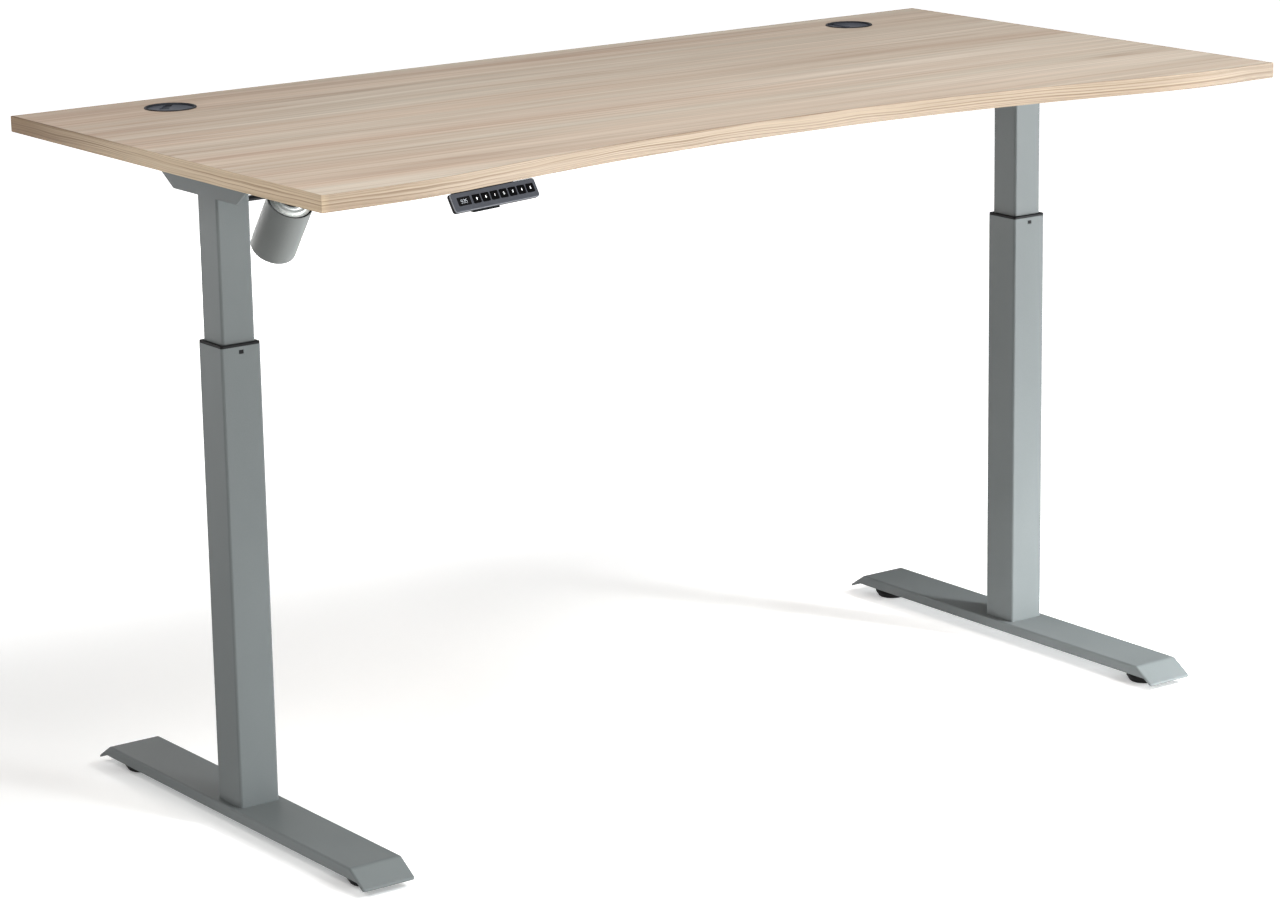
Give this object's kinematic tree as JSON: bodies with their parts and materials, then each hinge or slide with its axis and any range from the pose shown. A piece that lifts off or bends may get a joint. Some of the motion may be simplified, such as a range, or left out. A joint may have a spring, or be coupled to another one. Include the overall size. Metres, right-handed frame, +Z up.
{
  "type": "height adjustable standing desk",
  "caption": "Electric sit-stand desk: oak-look top with a curved front, two telescopic steel legs on flat feet, a motor and cross shaft underneath, and a keypad at the front edge.",
  "frame": {"origin": "on the floor, under the middle of the desk's bounding box", "axes": "+X along the width, to the right of the person sitting at it; +Y towards the back edge; +Z up"},
  "size_m": [1.6, 0.803, 0.9364],
  "materials": {
    "oak_laminate": "printed oak laminate, fine matt grain",
    "oak_edge": "wood-look edge band, matt",
    "grey_powder_coat": "fine satin powder coat, cool grey",
    "black_plastic": "moulded, fine texture",
    "grommet_plastic": "moulded slate grey, satin",
    "handset_plastic": "moulded dark grey, satin",
    "key_plastic": "black key caps",
    "display_window": "black display window",
    "zinc_steel": "zinc plated",
    "steel": "machined steel",
    "black_steel": "black oxide",
    "aluminium_cast": "die cast",
    "brass_gear": "machined",
    "acetal": "natural acetal",
    "circuit_board": "green solder mask",
    "rubber_black": "moulded"
  },
  "bodies": {
    "base": {"left_foot": "grey_powder_coat", "right_foot": "grey_powder_coat", "left_outer_tube": "grey_powder_coat", "right_outer_tube": "grey_powder_coat", "left_guide_collar": "black_plastic", "right_guide_collar": "black_plastic", "nut_columns": "steel", "spindle_nuts": "brass_gear", "foot_fasteners": "zinc_steel"},
    "top": {"desktop_panel": "oak_laminate", "desktop_edge_band": "oak_edge", "left_inner_tube": "grey_powder_coat", "right_inner_tube": "grey_powder_coat", "left_side_bracket": "grey_powder_coat", "right_side_bracket": "grey_powder_coat", "left_head_bracket": "grey_powder_coat", "right_head_bracket": "grey_powder_coat", "front_rail": "grey_powder_coat", "rear_rail": "grey_powder_coat", "motor_cover": "grey_powder_coat", "gearbox_left_half": "black_plastic", "gearbox_right_half": "black_plastic", "control_box_plate": "black_plastic", "control_box_cover": "black_plastic", "mains_inlet": "black_plastic", "left_grommet_ring": "grommet_plastic", "right_grommet_ring": "grommet_plastic", "handset_front_shell": "handset_plastic", "handset_rear_shell": "handset_plastic", "handset_window": "display_window", "motor_can": "zinc_steel", "motor_end_cap": "zinc_steel", "desktop_screws": "zinc_steel", "frame_bolts": "black_steel", "spindle_bearings": "steel", "gear_housings": "aluminium_cast", "sliding_pads": "acetal", "control_board": "circuit_board", "handset_board": "circuit_board", "motor_seal_ring": "rubber_black"},
    "cross_shaft": {"cross_shaft": "black_steel", "shaft_bevels": "steel", "worm_wheel": "brass_gear"},
    "left_spindle": {"left_spindle": "steel"},
    "right_spindle": {"right_spindle": "steel"},
    "motor_worm": {"motor_worm_shaft": "steel"},
    "left_grommet_cap": {"left_grommet_cap": "grommet_plastic"},
    "right_grommet_cap": {"right_grommet_cap": "grommet_plastic"},
    "button_up": {"button_up": "key_plastic"},
    "button_down": {"button_down": "key_plastic"},
    "button_1": {"button_1": "key_plastic"},
    "button_2": {"button_2": "key_plastic"},
    "button_3": {"button_3": "key_plastic"},
    "button_4": {"button_4": "key_plastic"},
    "button_5": {"button_5": "key_plastic"},
    "left_front_glide": {"left_front_glide": "rubber_black"},
    "left_rear_glide": {"left_rear_glide": "rubber_black"},
    "right_front_glide": {"right_front_glide": "rubber_black"},
    "right_rear_glide": {"right_rear_glide": "rubber_black"}
  },
  "joints": [
    {"name": "lift", "type": "slide", "parent": "base", "child": "top", "axis": [0, 0, 1], "range_m": [-0.175, 0.295]},
    {"name": "cross_shaft_turn", "type": "hinge", "parent": "top", "child": "cross_shaft", "pos_m": [0, 0.02651, 0.855], "axis": [1, 0, 0], "range_deg": [-6301, 10621]},
    {"name": "left_spindle_turn", "type": "hinge", "parent": "top", "child": "left_spindle", "pos_m": [-0.69, 0.02651, 0.6], "axis": [0, 0, 1], "range_deg": [-6301, 10621]},
    {"name": "right_spindle_turn", "type": "hinge", "parent": "top", "child": "right_spindle", "pos_m": [0.69, 0.02651, 0.6], "axis": [0, 0, 1], "range_deg": [-10621, 6301]},
    {"name": "motor_worm_turn", "type": "hinge", "parent": "top", "child": "motor_worm", "pos_m": [-0.571, 0.03768, 0.86294], "axis": [0, 0.5793, -0.8151], "range_deg": [-56701, 95581]},
    {"name": "left_grommet_turn", "type": "hinge", "parent": "top", "child": "left_grommet_cap", "pos_m": [-0.6, 0.31651, 0.935], "axis": [0, 0, 1], "continuous": true},
    {"name": "right_grommet_turn", "type": "hinge", "parent": "top", "child": "right_grommet_cap", "pos_m": [0.6, 0.31651, 0.935], "axis": [0, 0, 1], "continuous": true},
    {"name": "button_up_press", "type": "slide", "parent": "top", "child": "button_up", "axis": [-0.171, 0.8637, -0.4741], "range_m": [0, 0.0007], "stiffness_N_per_m": 1500},
    {"name": "button_down_press", "type": "slide", "parent": "top", "child": "button_down", "axis": [-0.171, 0.8637, -0.4741], "range_m": [0, 0.0007], "stiffness_N_per_m": 1500},
    {"name": "button_1_press", "type": "slide", "parent": "top", "child": "button_1", "axis": [-0.171, 0.8637, -0.4741], "range_m": [0, 0.0007], "stiffness_N_per_m": 1500},
    {"name": "button_2_press", "type": "slide", "parent": "top", "child": "button_2", "axis": [-0.171, 0.8637, -0.4741], "range_m": [0, 0.0007], "stiffness_N_per_m": 1500},
    {"name": "button_3_press", "type": "slide", "parent": "top", "child": "button_3", "axis": [-0.171, 0.8637, -0.4741], "range_m": [0, 0.0007], "stiffness_N_per_m": 1500},
    {"name": "button_4_press", "type": "slide", "parent": "top", "child": "button_4", "axis": [-0.171, 0.8637, -0.4741], "range_m": [0, 0.0007], "stiffness_N_per_m": 1500},
    {"name": "button_5_press", "type": "slide", "parent": "top", "child": "button_5", "axis": [-0.171, 0.8637, -0.4741], "range_m": [0, 0.0007], "stiffness_N_per_m": 1500},
    {"name": "left_front_glide_level", "type": "slide", "parent": "base", "child": "left_front_glide", "axis": [0, 0, -1], "range_m": [0, 0.01]},
    {"name": "left_rear_glide_level", "type": "slide", "parent": "base", "child": "left_rear_glide", "axis": [0, 0, -1], "range_m": [0, 0.01]},
    {"name": "right_front_glide_level", "type": "slide", "parent": "base", "child": "right_front_glide", "axis": [0, 0, -1], "range_m": [0, 0.01]},
    {"name": "right_rear_glide_level", "type": "slide", "parent": "base", "child": "right_rear_glide", "axis": [0, 0, -1], "range_m": [0, 0.01]}
  ],
  "couplings": [
    {"joint": "cross_shaft_turn", "follows": "lift", "rad_per_m": 628.32},
    {"joint": "left_spindle_turn", "follows": "lift", "rad_per_m": 628.32},
    {"joint": "right_spindle_turn", "follows": "lift", "rad_per_m": -628.32},
    {"joint": "motor_worm_turn", "follows": "lift", "rad_per_m": 5654.9}
  ]
}
